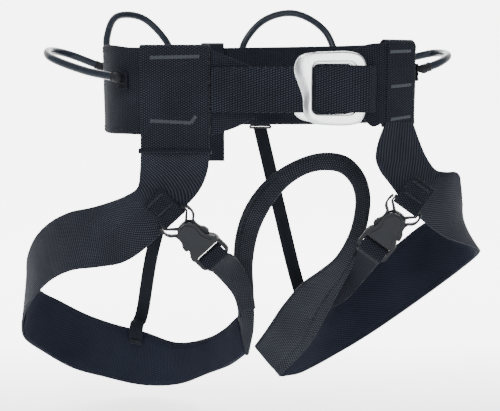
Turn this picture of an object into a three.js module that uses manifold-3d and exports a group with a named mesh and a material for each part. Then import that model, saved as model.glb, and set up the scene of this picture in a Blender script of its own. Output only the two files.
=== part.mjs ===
// Unpadded alpine climbing harness: waist belt, two leg loops, tie-in loop and gear loops.
// Millimetres. +Z is up, -Y is the wearer's front, +X is the viewer's right from the front.
// The origin is the centre of the waist opening, halfway up the belt.
import * as THREE from 'three';
import { mergeVertices } from 'three/addons/utils/BufferGeometryUtils.js';
import Module from 'manifold-3d';

const wasm = await Module();
wasm.setup();

// Driving dimensions
const GAP = 0.4;                 // clearance between sewn layers
const BELT_THICKNESS = 4;
const TAB_THICKNESS = 3;
const STRAP_THICKNESS = 2.2;     // leg webbing and the 45 mm waist webbing
const PAD_THICKNESS = 5;
const LOOP_THICKNESS = 6;        // tie-in webbing, folded in half lengthwise
const WAIST_STRAP_TOP = 24;
const WAIST_STRAP_BOTTOM = -18.5;
const RISER_THICKNESS = 1.8;
const GEAR_LOOP_DIAMETER = 8;
const BUCKLE_PLATE = 4;
const LEG_WEBBING_WIDTH = 25;
const LEG_WEBBING_THICKNESS = 1.8;

// Colours and surfaces
const WEBBING = { color: 0x1b1c20, roughness: 0.9, metalness: 0 };
const PADDING = { color: 0x202127, roughness: 0.95, metalness: 0 };
const PLASTIC = { color: 0x3c4046, roughness: 0.45, metalness: 0 };
const DARK_PLASTIC = { color: 0x141518, roughness: 0.4, metalness: 0 };
const SHEATH = { color: 0x23262d, roughness: 0.25, metalness: 0 };
const ALUMINIUM = { color: 0xe6e8ea, roughness: 0.2, metalness: 1 };

const harness = new THREE.Group();

const vector = (p) => new THREE.Vector3(p[0], p[1], p[2]);

// A closed body's signed volume is positive when its faces point out.
function signedVolume(positions, triangles) {
  const a = new THREE.Vector3();
  const b = new THREE.Vector3();
  const c = new THREE.Vector3();
  let sum = 0;
  for (let i = 0; i < triangles.length; i += 3) {
    a.fromArray(positions, 3 * triangles[i]);
    b.fromArray(positions, 3 * triangles[i + 1]);
    c.fromArray(positions, 3 * triangles[i + 2]);
    sum += a.dot(b.cross(c)) / 6;
  }
  return sum;
}

function addMesh(name, geometry, finish, parent = harness) {
  const mesh = new THREE.Mesh(geometry, new THREE.MeshStandardMaterial(finish));
  mesh.name = name;
  parent.add(mesh);
  return mesh;
}

// Rings of equal length, joined side by side and closed at both ends.
function loftGeometry(rings) {
  const positions = rings.flat().flatMap((p) => p.toArray());
  const count = rings[0].length;
  const triangles = [];
  for (let r = 0; r + 1 < rings.length; r += 1) {
    for (let k = 0; k < count; k += 1) {
      const a = r * count + k;
      const b = r * count + (k + 1) % count;
      triangles.push(a, b, b + count, a, b + count, a + count);
    }
  }
  const last = (rings.length - 1) * count;
  for (let k = 1; k + 1 < count; k += 1) {
    triangles.push(0, k + 1, k);
    triangles.push(last, last + k, last + k + 1);
  }
  if (signedVolume(positions, triangles) < 0) triangles.reverse();
  const geometry = new THREE.BufferGeometry();
  geometry.setAttribute('position', new THREE.Float32BufferAttribute(positions, 3));
  geometry.setIndex(triangles);
  return geometry;
}

// Two edge curves through matching stations. The ribbon can start late (from, in stations) and be
// moved off the surface (offset).
function ribbonGeometry(stations, options) {
  const { thickness, steps, sides = 6, from = 0, offset = 0 } = options;
  const left = new THREE.CatmullRomCurve3(stations.map((s) => vector(s[0])));
  const right = new THREE.CatmullRomCurve3(stations.map((s) => vector(s[1])));
  const last = stations.length - 1;
  const rings = [];
  for (let i = 0; i <= steps; i += 1) {
    const t = (from + (last - from) * i / steps) / last;
    const a = left.getPoint(t);
    const b = right.getPoint(t);
    const across = b.clone().sub(a);
    const width = across.length();
    across.normalize();
    const along = left.getTangent(t).add(right.getTangent(t)).normalize();
    const normal = across.clone().cross(along).normalize();
    const centre = a.clone().add(b).multiplyScalar(0.5).addScaledVector(normal, offset);
    const ring = [];
    for (let k = 0; k < sides; k += 1) {
      const angle = 2 * Math.PI * (k + 0.5) / sides;
      const u = Math.sign(Math.cos(angle)) * Math.abs(Math.cos(angle)) ** 0.4;
      const v = Math.sign(Math.sin(angle)) * Math.abs(Math.sin(angle)) ** 0.6;
      ring.push(centre.clone()
        .addScaledVector(across, u * width / 2)
        .addScaledVector(normal, v * thickness / 2));
    }
    rings.push(ring);
  }
  return loftGeometry(rings);
}

// A flat strap of square section: exact corners, for panels that must be plane.
function flatGeometry(stations, thickness) {
  const rings = stations.map(([first, second], index) => {
    const a = vector(first);
    const b = vector(second);
    const before = stations[Math.max(index - 1, 0)];
    const after = stations[Math.min(index + 1, stations.length - 1)];
    const along = vector(after[0]).add(vector(after[1])).sub(vector(before[0])).sub(vector(before[1]));
    const normal = b.clone().sub(a).cross(along).normalize();
    return [[a, -1], [b, -1], [b, 1], [a, 1]]
      .map(([p, side]) => p.clone().addScaledVector(normal, side * thickness / 2));
  });
  return loftGeometry(rings);
}

// Solids for cutting and joining
function toSolid(geometry) {
  const plain = geometry.clone();
  plain.deleteAttribute('normal');
  plain.deleteAttribute('uv');
  const merged = mergeVertices(plain, 1e-5);
  return new wasm.Manifold(new wasm.Mesh({
    numProp: 3,
    vertProperties: new Float32Array(merged.attributes.position.array),
    triVerts: new Uint32Array(merged.index.array),
  }));
}

function toGeometry(solid) {
  const mesh = solid.getMesh();
  const geometry = new THREE.BufferGeometry();
  geometry.setAttribute('position', new THREE.Float32BufferAttribute(mesh.vertProperties, 3));
  geometry.setIndex(Array.from(mesh.triVerts));
  return geometry;
}

function boxSolid(low, high) {
  const size = high.map((value, axis) => value - low[axis]);
  const geometry = new THREE.BoxGeometry(...size);
  geometry.translate(...high.map((value, axis) => (value + low[axis]) / 2));
  return toSolid(geometry);
}

// A plate in the local XY plane, from z = low to z = high.
function plateSolid(shape, low, high, curveSegments = 8) {
  const geometry = new THREE.ExtrudeGeometry(shape, {
    depth: high - low, bevelEnabled: false, curveSegments,
  });
  geometry.translate(0, 0, low);
  return toSolid(geometry);
}

function smoothShape(points) {
  const shape = new THREE.Shape();
  const curve = new THREE.CatmullRomCurve3(points.map(([x, y]) => new THREE.Vector3(x, y, 0)), true);
  shape.setFromPoints(curve.getPoints(points.length * 4).slice(0, -1)
    .map((p) => new THREE.Vector2(p.x, p.y)));
  return shape;
}

function roundedRectangle(left, bottom, right, top, radius) {
  const shape = new THREE.Shape();
  shape.absarc(left + radius, bottom + radius, radius, Math.PI, 1.5 * Math.PI);
  shape.absarc(right - radius, bottom + radius, radius, 1.5 * Math.PI, 2 * Math.PI);
  shape.absarc(right - radius, top - radius, radius, 0, 0.5 * Math.PI);
  shape.absarc(left + radius, top - radius, radius, 0.5 * Math.PI, Math.PI);
  shape.closePath();
  return shape;
}

// Waist belt: a wide webbing C, open at the front. Each row is a place on its plan curve and the
// heights of its lower and upper edges there.
const BELT_ROWS = [
  [-46, -92.2, -40, 39], [-70, -90.1, -40, 39], [-94, -88, -40, 39.5], [-112, -86.2, -40, 41],
  [-127, -79, -40, 43], [-142, -61, -41, 45], [-156, -16, -42, 45], [-153, 38, -42, 45],
  [-118, 84, -43, 45], [-54, 100, -43, 45], [22, 103, -43, 46], [88, 94, -42, 47],
  [134, 60, -38, 48], [151, 8, -34, 48], [153.4, -32, -33, 47], [152.4, -53, -33, 46],
  [148, -61.9, -33, 45], [140.7, -67.4, -33, 44.5], [128.4, -76.8, -33, 44], [118.5, -84.4, -33, 44],
];

function addWaistBelt() {
  const stations = BELT_ROWS.map(([x, y, low, high]) => [[x, y, high], [x, y, low]]);
  addMesh('waist_belt', ribbonGeometry(stations, { thickness: BELT_THICKNESS, steps: 56 }), WEBBING);
  const leftEnd = [
    [[-45, -93.2, 40], [-45, -93.2, -40]],
    [[-25, -93.6, 32], [-25, -93.6, -34]],
    [[-3, -94, 23], [-3, -94, -24]],
  ];
  addMesh('left_belt_end', ribbonGeometry(leftEnd, { thickness: 2.4, steps: 8 }), WEBBING);
}

// The leg webbing wraps the belt: outer panel, over the top edge, inner panel.
const LAYER_STEP = BELT_THICKNESS + TAB_THICKNESS + 4 * GAP;

function tabStations(outer, inward, top, bottomOuter, bottomInner) {
  const place = (p, share, z) => [
    p[0] + inward[0] * share * LAYER_STEP, p[1] + inward[1] * share * LAYER_STEP, z,
  ];
  const rows = [[0, bottomOuter], [0, top - 6], [0, top - 1], [0.15, top + 1.6], [0.5, top + 3],
    [0.85, top + 1.6], [1, top - 1], [1, bottomInner]];
  return rows.map(([share, z]) => outer.map((corner) => place(corner, share, z)));
}

function addLeftTab() {
  const outer = [[-112, -90.8], [-46, -96.6]];
  const stations = tabStations(outer, [0.088, 0.996], 40.5, -54, -36);
  addMesh('left_belt_tab', flatGeometry(stations, TAB_THICKNESS), WEBBING);
}

function addRightTab() {
  const outer = [[119.5, -89], [151, -65]];
  const stations = tabStations(outer, [-0.606, 0.795], 45.5, -28, -30);
  addMesh('right_belt_tab', flatGeometry(stations, TAB_THICKNESS), WEBBING);
  const flap = [
    [[88, -94.2, 40], [98, -93.8, -24]],
    [[102, -93.4, 45], [108, -92.6, -32]],
    [[117.4, -90.4, 47], [117.6, -90.2, -28]],
  ];
  addMesh('right_belt_flap', ribbonGeometry(flap, { thickness: TAB_THICKNESS, steps: 8 }), WEBBING);
}

// The 45 mm waist webbing comes from the left, passes behind the buckle's left side and over the
// back frame. The anchor webbing fills the window and wraps over the buckle's right bar.
function addWaistWebbing() {
  const edges = (rows, low, high) => rows.map(([x, y]) => [[x, y, high], [x, y, low]]);
  const strap = edges([[-44.5, -97], [-10, -97.6], [20, -98.8], [33, -99.1], [47, -99.1]],
    WAIST_STRAP_BOTTOM, WAIST_STRAP_TOP);
  addMesh('waist_strap', ribbonGeometry(strap, { thickness: STRAP_THICKNESS, steps: 12 }), WEBBING);
  const anchor = edges([[53, -99], [66, -99.4], [77, -102], [84, -105.6], [94, -107.2], [101.5, -106.1],
    [106.4, -101.4], [109, -96.6]], WAIST_STRAP_BOTTOM + 0.5, WAIST_STRAP_TOP + 1.5);
  addMesh('anchor_strap', ribbonGeometry(anchor, { thickness: STRAP_THICKNESS, steps: 24 }), WEBBING);
}

// Waist buckle: two formed aluminium frames, one behind the other, drawn in the X-Z plane.
const FRONT_FRAME = [
  [34, 28], [33, 20], [36.5, 9], [41, -4], [42, -17], [45, -24], [52, -28.5], [66, -30],
  [84, -30], [94, -27.5], [99, -20], [99, 28], [94, 35], [84, 38], [66, 38], [48, 37], [38, 34],
];
const BACK_FRAME = [
  [40, 24], [38, 10], [36, -8], [33, -16], [36, -22], [44, -26], [60, -27.5], [84, -27.5],
  [92, -25], [96, -18], [96, 26], [92, 32], [84, 35], [62, 35], [46, 32],
];

// A frame with a rounded window, its back face at the given Y.
function frameGeometry(outline, window, thickness, y) {
  const plate = plateSolid(smoothShape(outline), 0, thickness);
  const hole = plateSolid(roundedRectangle(...window), -1, thickness + 1);
  const geometry = toGeometry(plate.subtract(hole));
  geometry.rotateX(Math.PI / 2);
  geometry.translate(0, y, 0);
  return geometry;
}

function addWaistBuckle() {
  const front = frameGeometry(FRONT_FRAME, [50, -19.5, 90, 28.5, 6], BUCKLE_PLATE, -100.5);
  const back = frameGeometry(BACK_FRAME, [50, -20, 88, 27, 6], 2, -96);
  addMesh('buckle_front_frame', front, ALUMINIUM);
  addMesh('buckle_back_frame', back, ALUMINIUM);
}

// Haul loop: a band round the belt at the back centre that hangs below it.
function addHaulLoop() {
  const outer = 107.6;
  const inner = 94;
  const centre = (outer + inner) / 2;
  const rows = [[outer, -86], [outer, 38], [outer, 45], [outer - 2, 48], [centre, 49.5], [inner + 2, 48],
    [inner, 45], [inner, -84]];
  const stations = rows.map(([y, z]) => [[-64, y, z], [-38, y, z]]);
  addMesh('haul_loop', flatGeometry(stations, 2.4), WEBBING);
}

// Leg loops. Each station holds the band's upper edge and its lower edge.
const LEFT_LEG = [
  [[-112, -91, -56], [-46, -97, -55]],
  [[-113, -92, -74], [-48, -98, -73]],
  [[-116, -90, -90], [-56, -100, -92]],
  [[-128, -83, -99], [-80, -101, -118]],
  [[-146, -74, -107], [-105, -99, -145]],
  [[-166, -63, -114], [-130, -92, -163]],
  [[-190, -49, -121], [-158, -80, -171]],
  [[-215, -31, -135], [-187, -64, -178]],
  [[-237, -7, -157], [-214, -44, -194]],
  [[-252, 20, -186], [-240, -20, -222]],
  [[-258, 46, -212], [-258, 10, -255]],
  [[-250, 68, -233], [-262, 36, -281]],
  [[-232, 82, -248], [-248, 58, -303]],
  [[-205, 94, -267], [-218, 78, -330]],
  [[-174, 100, -281], [-184, 88, -344]],
  [[-134, 100, -292], [-138, 92, -356]],
  [[-96, 88, -301], [-94, 84, -352]],
  [[-58, 64, -288], [-56, 66, -332]],
  [[-32, 34, -264], [-30, 38, -312]],
  [[-20, 8, -244], [-10, 10, -288]],
];
const RIGHT_LEG = [
  [[120, -89, -30], [151, -66, -31]],
  [[113, -93, -48], [159, -64, -50]],
  [[111, -96, -62], [167, -62, -66]],
  [[115, -98, -73], [176, -62, -77]],
  [[124, -98, -85], [186, -60, -79]],
  [[134, -96, -98], [195, -56, -79]],
  [[148, -89, -113], [202, -48, -83]],
  [[166, -77, -129], [207, -36, -95]],
  [[188, -60, -145], [213, -18, -112]],
  [[212, -36, -156], [218, 4, -123]],
  [[234, -10, -167], [217, 28, -132]],
  [[242, 20, -180], [208, 50, -141]],
  [[228, 46, -204], [190, 68, -154]],
  [[198, 64, -235], [164, 80, -179]],
  [[162, 74, -266], [137, 84, -203]],
  [[125, 72, -291], [111, 80, -222]],
  [[86, 62, -310], [94, 72, -232]],
  [[50, 46, -322], [85, 60, -237]],
  [[25, 28, -322], [76, 46, -243]],
];
const PAD_START = { left: 11.4, right: 9.8 };

function addLegLoop(side, stations) {
  const webbing = ribbonGeometry(stations, { thickness: STRAP_THICKNESS, steps: 60 });
  addMesh(`${side}_leg_strap`, webbing, WEBBING);
  const pad = ribbonGeometry(stations, {
    thickness: PAD_THICKNESS, steps: 34, sides: 8, from: PAD_START[side],
    offset: (STRAP_THICKNESS + PAD_THICKNESS) / 2 + GAP,
  });
  addMesh(`${side}_leg_pad`, pad, PADDING);
}

// Tie-in loop: leg webbing folded in half lengthwise, from the left crotch over to the right one,
// where it opens out flat again.
const TIE_IN = [
  [[-20, 4, -246], [-9, 5, -282]],
  [[-21, -6, -238], [-4, -8, -256]],
  [[-22, -20, -209], [-4, -24, -212]],
  [[-25, -32, -176], [-5, -36, -178]],
  [[-22, -44, -142], [0, -46, -146]],
  [[-12, -54, -113], [10, -56, -120]],
  [[6, -62, -88], [26, -64, -96]],
  [[31, -68, -69], [45, -71, -81]],
  [[60, -70, -59], [62, -74, -76]],
  [[86, -70, -62], [79, -74, -78]],
  [[103, -66, -78], [90, -70, -88]],
  [[111, -60, -99], [96, -64, -103]],
  [[112, -54, -122], [96, -58, -124]],
  [[108, -46, -146], [90, -51, -148]],
  [[101, -38, -169], [79, -44, -170]],
  [[91, -28, -190], [63, -35, -186]],
  [[80, -14, -213], [45, -22, -203]],
  [[67, 2, -241], [28, -6, -229]],
  [[48, 16, -276], [12, 8, -258]],
  [[30, 24, -306], [2, 18, -282]],
];

function addTieInLoop() {
  addMesh('tie_in_loop', ribbonGeometry(TIE_IN, { thickness: LOOP_THICKNESS, steps: 54, sides: 8 }), WEBBING);
}

// Elastic risers from the belt's back to the leg pads, each held by a slider at the belt.
const RISERS = {
  left: [[[-86, 105.4, -48], [-70, 105.4, -48]], [[-132, 108.6, -192], [-116, 108.6, -192]],
    [[-146, 108.4, -268], [-130, 108.4, -268]], [[-149, 103, -277], [-133, 103, -280]],
    [[-151, 94, -278], [-135, 94, -282]], [[-152, 89.5, -287], [-136, 89.5, -291]],
    [[-152.5, 88.6, -302], [-136.5, 88.6, -305]]],
  right: [[[-4, 105.6, -48], [12, 105.6, -48]], [[18, 102, -140], [34, 102, -140]],
    [[42, 92, -235], [58, 92, -235]], [[62, 82, -290], [78, 82, -290]]],
};
const RISER_SLIDERS = { left: [-78, 103.4], right: [4, 104] };

function addRisers() {
  for (const [side, stations] of Object.entries(RISERS)) {
    addMesh(`${side}_riser`, ribbonGeometry(stations, { thickness: RISER_THICKNESS, steps: 16 }), WEBBING);
    const [x, y] = RISER_SLIDERS[side];
    const frame = boxSolid([x - 13, y - 3, -47.4], [x + 13, y + 3, -43.6]);
    addMesh(`${side}_riser_slider`, toGeometry(frame), DARK_PLASTIC);
  }
}

// The belt's outer face: the nearest place on its plan curve, and the way out from it.
const beltCurve = new THREE.CatmullRomCurve3(BELT_ROWS.map(([x, y]) => new THREE.Vector3(x, y, 0)));

function beltFace(x, y) {
  const target = new THREE.Vector3(x, y, 0);
  let best = 0;
  for (let i = 1; i <= 400; i += 1) {
    if (beltCurve.getPoint(i / 400).distanceTo(target) < beltCurve.getPoint(best / 400).distanceTo(target)) {
      best = i;
    }
  }
  const tangent = beltCurve.getTangent(best / 400);
  const outward = new THREE.Vector3(-tangent.y, tangent.x, 0);
  return { place: beltCurve.getPoint(best / 400), outward, tangent };
}

// Gear loops: plastic sheathed cord. Each end sits over a webbing tab that is sewn to the belt.
// The first and last rows are the ends (near the belt face), the others are the bow between them.
const GEAR_LOOPS = {
  front_left: [[-127, -79, 14], [-166, -68, 20], [-206, -38, 33], [-214, -6, 40], [-200, 18, 37],
    [-166, 22, 24]],
  rear_left: [[-160, 44, 24], [-166, 66, 56], [-158, 94, 80], [-132, 112, 79], [-106, 114, 54],
    [-92, 102, 24]],
  rear_right: [[-22, 112, 24], [-14, 118, 52], [10, 126, 78], [44, 128, 85], [78, 122, 66],
    [98, 104, 24]],
  front_right: [[160, -46, 22], [178, -40, 27], [191, -22, 33], [195, 2, 37], [186, 24, 38],
    [160, 26, 32]],
};
const GEAR_TAB = { width: 12, height: 22, thickness: 2.6 };
const GEAR_END_REACH = BELT_THICKNESS / 2 + GAP + GEAR_TAB.thickness + GEAR_LOOP_DIAMETER / 2 + 0.8;

function addGearTab(name, face, z) {
  const shape = roundedRectangle(
    -GEAR_TAB.width / 2, -GEAR_TAB.height / 2, GEAR_TAB.width / 2, GEAR_TAB.height / 2, 2,
  );
  const geometry = toGeometry(plateSolid(shape, 0, GEAR_TAB.thickness, 3));
  const basis = new THREE.Matrix4().makeBasis(
    face.tangent.clone().negate(), new THREE.Vector3(0, 0, 1), face.outward,
  );
  const base = face.place.clone().addScaledVector(face.outward, BELT_THICKNESS / 2 + 2 * GAP);
  geometry.applyMatrix4(basis.setPosition(base.x, base.y, z));
  addMesh(name, geometry, WEBBING);
}

function addGearLoop(name, rows) {
  const points = rows.map(vector);
  const last = points.length - 1;
  for (const [index, end] of [[0, 'front'], [last, 'back']]) {
    const face = beltFace(points[index].x, points[index].y);
    addGearTab(`${name}_gear_tab_${end}`, face, points[index].z - 7);
    points[index].set(face.place.x, face.place.y, points[index].z);
    points[index].addScaledVector(face.outward, GEAR_END_REACH);
  }
  const section = new THREE.Shape();
  section.absarc(0, 0, GEAR_LOOP_DIAMETER / 2, 0, 2 * Math.PI);
  const geometry = new THREE.ExtrudeGeometry(section, {
    steps: 28, extrudePath: new THREE.CatmullRomCurve3(points), curveSegments: 5, bevelEnabled: false,
  });
  geometry.deleteAttribute('normal');
  geometry.deleteAttribute('uv');
  addMesh(`${name}_gear_loop`, mergeVertices(geometry, 1e-4), SHEATH);
}

// Leg buckles: side release. In the buckle's own frame +X runs from the sewn tab to the crotch,
// Y runs across, and +Z faces out. The origin is the bar inside the sewn tab.
const BUCKLES = {
  left: { origin: [-81, -109.5, -115], axis: [41, 9, -43], outward: [0, -1, -0.1] },
  right: { origin: [140, -108, -104], axis: [-29.5, 16, -46.5], outward: [-0.2, -1, 0] },
};
const BAR_RADIUS = 2.1;
const BAR_HALF_LENGTH = 14.6;
const HOUSING_HALF_DEPTH = 5.5;
const CAVITY_HALF_DEPTH = 3.2;
const PRONG_HALF_DEPTH = 2.4;

const mirrored = (half) => [...half, ...half.slice().reverse().map(([x, y]) => [x, -y])];

function polygonShape(points) {
  return new THREE.Shape(points.map(([x, y]) => new THREE.Vector2(x, y)));
}

function barSolid(x, halfLength) {
  const geometry = new THREE.CylinderGeometry(BAR_RADIUS, BAR_RADIUS, 2 * halfLength, 12);
  geometry.translate(x, 0, 0);
  return toSolid(geometry);
}

function sewnTabGeometry() {
  const outline = new THREE.Shape();
  outline.absarc(0, 0, 4.5, -0.8 * Math.PI, 0.8 * Math.PI);
  outline.lineTo(-9, 1.9);
  outline.lineTo(-27, 1.9);
  outline.lineTo(-27, -1.9);
  outline.lineTo(-9, -1.9);
  outline.closePath();
  const hole = new THREE.Path();
  hole.absarc(0, 0, BAR_RADIUS + 0.5, 0, 2 * Math.PI, true);
  outline.holes.push(hole);
  const half = LEG_WEBBING_WIDTH / 2;
  const geometry = toGeometry(plateSolid(outline, -half, half, 6));
  geometry.rotateX(Math.PI / 2);
  return geometry;
}

function maleGeometry() {
  const struts = polygonShape(mirrored([[-2, 14.6], [5.6, 14.6], [9, 11], [14, 6.2]]));
  const gap = polygonShape(mirrored([[-3, 12.9], [4.9, 12.9], [7.4, 9.4], [11.6, 4.6]]));
  const guide = plateSolid(struts, -1.5, 1.5).subtract(plateSolid(gap, -2, 2));
  return toGeometry(guide.add(barSolid(0, BAR_HALF_LENGTH)));
}

// A spring arm from the bar's end into the housing, with a thumb pad that fills the side window.
const PRONG = [
  [0.5, 15.2], [0.5, 17.2], [9, 18], [13.6, 16], [16.6, 12.5], [24.4, 12.3], [29, 15],
  [34, 15.2], [35.2, 12], [35, 9.6], [24, 9.8], [16.2, 9.8], [12.2, 14], [8.4, 16.2], [4, 15.9],
];

function prongGeometry(sign) {
  const shape = polygonShape(PRONG.map(([x, y]) => [x, sign * y]));
  return toGeometry(plateSolid(shape, -PRONG_HALF_DEPTH, PRONG_HALF_DEPTH));
}

function housingGeometry() {
  const outline = mirrored([
    [12, 1], [12.4, 5], [14.2, 8.4], [17.2, 10.4], [19.6, 13.6], [21.6, 15.2], [24, 15.4], [24.6, 11.2],
    [35.8, 11.2], [36.6, 15], [41, 15.6], [46, 16.2], [46, 0],
  ]);
  const shell = plateSolid(polygonShape(outline), -HOUSING_HALF_DEPTH, HOUSING_HALF_DEPTH);
  const cavity = boxSolid([8, -12.9, -CAVITY_HALF_DEPTH], [40, 12.9, CAVITY_HALF_DEPTH]);
  const ladder = boxSolid([40, -16.6, -2.6], [62, 16.6, 2.6]);
  const slot = boxSolid([46, -13.6, -4], [59, 13.6, 4]);
  const crossbar = boxSolid([50, -15, -1.6], [53, 15, 1.6]);
  return toGeometry(shell.subtract(cavity).add(ladder.subtract(slot)).add(crossbar));
}

// Webbing through the ladder lock, in the buckle's frame: up behind the crossbar and over it, down
// through the second slot and under the end bar.
const LADDER_PATH = [[48.1, -2.6], [48, 0], [49.2, 2.6], [51.5, 3.3], [54.2, 2.4], [55.8, 0],
  [57, -2.4], [59.2, -3.9], [63, -4.4]];
const CROTCH_ENDS = {
  left: [[[-36, -72, -184], [-20, -72, -168]], [[-25, -43, -210], [-6, -46, -200]],
    [[-20, -27, -232], [-2, -30, -226]]],
  right: [[[112, -68, -166], [95, -64, -182]], [[94, -46, -188], [80, -42, -206]]],
};

function addLegBuckle(side) {
  const { origin, axis, outward } = BUCKLES[side];
  const along = vector(axis).normalize();
  const across = vector(outward).cross(along).normalize();
  const face = along.clone().cross(across);
  const matrix = new THREE.Matrix4().makeBasis(along, across, face).setPosition(...origin);
  const frame = new THREE.Group();
  frame.applyMatrix4(matrix);
  harness.add(frame);
  addMesh(`${side}_buckle_tab`, sewnTabGeometry(), WEBBING, frame);
  addMesh(`${side}_buckle_male`, maleGeometry(), PLASTIC, frame);
  addMesh(`${side}_buckle_prong_right`, prongGeometry(1), PLASTIC, frame);
  addMesh(`${side}_buckle_prong_left`, prongGeometry(-1), PLASTIC, frame);
  addMesh(`${side}_buckle_housing`, housingGeometry(), PLASTIC, frame);
  const half = LEG_WEBBING_WIDTH / 2;
  const ladder = LADDER_PATH.map(([x, z]) => [-half, half].map(
    (y) => new THREE.Vector3(x, y, z).applyMatrix4(matrix).toArray(),
  ));
  const stations = [...ladder, ...CROTCH_ENDS[side]];
  const webbing = ribbonGeometry(stations, { thickness: LEG_WEBBING_THICKNESS, steps: 48 });
  addMesh(`${side}_buckle_webbing`, webbing, WEBBING);
}

function addGearLoops() {
  for (const [name, rows] of Object.entries(GEAR_LOOPS)) {
    addGearLoop(name, rows);
  }
}

addWaistBelt();
addLeftTab();
addRightTab();
addWaistWebbing();
addWaistBuckle();
addHaulLoop();
addLegLoop('left', LEFT_LEG);
addLegLoop('right', RIGHT_LEG);
addTieInLoop();
addRisers();
addGearLoops();
addLegBuckle('left');
addLegBuckle('right');

export default harness;
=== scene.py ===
# Looks for the climbing harness: webbing, padding, buckles and gear loops around the CAD frame.
# The station lists follow the CAD's edge curves, in millimetres, with a few webbing ends changed.
# Many stations were printed by a scratch helper, from places read by eye off the photograph and an
# assumed depth. They are not worked out from driving dimensions. Meshes are made in metres.
import math

import bmesh
import bpy
from mathutils import Matrix, Vector, noise


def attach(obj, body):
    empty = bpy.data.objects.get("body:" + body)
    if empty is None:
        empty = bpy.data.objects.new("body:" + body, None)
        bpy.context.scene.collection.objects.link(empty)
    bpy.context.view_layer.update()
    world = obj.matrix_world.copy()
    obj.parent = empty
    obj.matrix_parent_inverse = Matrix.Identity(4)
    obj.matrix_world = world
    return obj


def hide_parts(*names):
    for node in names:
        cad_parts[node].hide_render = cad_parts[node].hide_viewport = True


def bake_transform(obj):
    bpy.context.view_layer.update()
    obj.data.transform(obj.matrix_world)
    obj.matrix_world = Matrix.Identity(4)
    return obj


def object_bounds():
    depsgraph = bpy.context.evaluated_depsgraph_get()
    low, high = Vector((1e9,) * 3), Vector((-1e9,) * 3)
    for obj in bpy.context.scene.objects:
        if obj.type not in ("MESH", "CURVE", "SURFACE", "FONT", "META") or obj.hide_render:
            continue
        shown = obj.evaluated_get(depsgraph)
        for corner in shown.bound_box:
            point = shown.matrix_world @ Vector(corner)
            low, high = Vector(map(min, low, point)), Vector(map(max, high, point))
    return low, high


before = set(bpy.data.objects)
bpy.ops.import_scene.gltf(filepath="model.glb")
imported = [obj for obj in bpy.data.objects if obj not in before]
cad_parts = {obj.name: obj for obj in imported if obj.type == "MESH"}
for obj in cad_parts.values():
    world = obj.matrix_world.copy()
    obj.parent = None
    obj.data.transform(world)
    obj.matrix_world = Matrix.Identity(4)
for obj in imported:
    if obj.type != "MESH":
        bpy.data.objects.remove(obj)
cad_low, cad_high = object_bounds()

MM = 0.001
STRAP = 2.2
PAD = 5.0
GAP = 0.4

# ---------------------------------------------------------------- camera, lights and backdrop
CAMERA_PLACE = (-0.008, -0.9383, 0.0266)
CAMERA_DOWN = math.radians(9.0)


def add_camera():
    data = bpy.data.cameras.new("camera")
    data.sensor_width = 36.0
    data.lens = 64.3
    camera = bpy.data.objects.new("camera", data)
    camera.location = CAMERA_PLACE
    camera.rotation_euler = (math.pi / 2 - CAMERA_DOWN, 0, 0)
    bpy.context.collection.objects.link(camera)
    bpy.context.scene.camera = camera


def add_area_light(name, place, target, size, power):
    data = bpy.data.lights.new(name, "AREA")
    data.shape = "RECTANGLE"
    data.size, data.size_y = size
    data.energy = power
    crown_highlight = bpy.data.objects.new(name, data)
    crown_highlight.location = place
    direction = Vector(target) - Vector(place)
    crown_highlight.rotation_euler = direction.to_track_quat("-Z", "Y").to_euler()
    bpy.context.collection.objects.link(crown_highlight)


def add_world():
    world = bpy.data.worlds.new("studio")
    world.use_nodes = True
    background = world.node_tree.nodes["Background"]
    background.inputs["Color"].default_value = (1, 1, 1, 1)
    background.inputs["Strength"].default_value = 0.42
    bpy.context.scene.world = world


def add_backdrop():
    """A pale sweep: flat floor below the harness that curves up into a wall behind it."""
    floor_height = cad_low[2] - 0.012
    wall_place = 1.6
    radius = 0.8
    profile = [(-3.0, 0.0), (wall_place - radius, 0.0)]
    for step in range(1, 13):
        angle = step / 12 * math.pi / 2
        profile.append((wall_place - radius + radius * math.sin(angle), radius - radius * math.cos(angle)))
    profile.append((wall_place, 3.5))
    mesh = bpy.data.meshes.new("backdrop")
    vertices = [(x, y, floor_height + z) for y, z in profile for x in (-4.0, 4.0)]
    faces = [(2 * i, 2 * i + 1, 2 * i + 3, 2 * i + 2) for i in range(len(profile) - 1)]
    mesh.from_pydata(vertices, [], faces)
    for polygon in mesh.polygons:
        polygon.use_smooth = True
    sweep = bpy.data.objects.new("backdrop", mesh)
    bpy.context.collection.objects.link(sweep)
    mesh.materials.append(backdrop_material())


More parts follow.
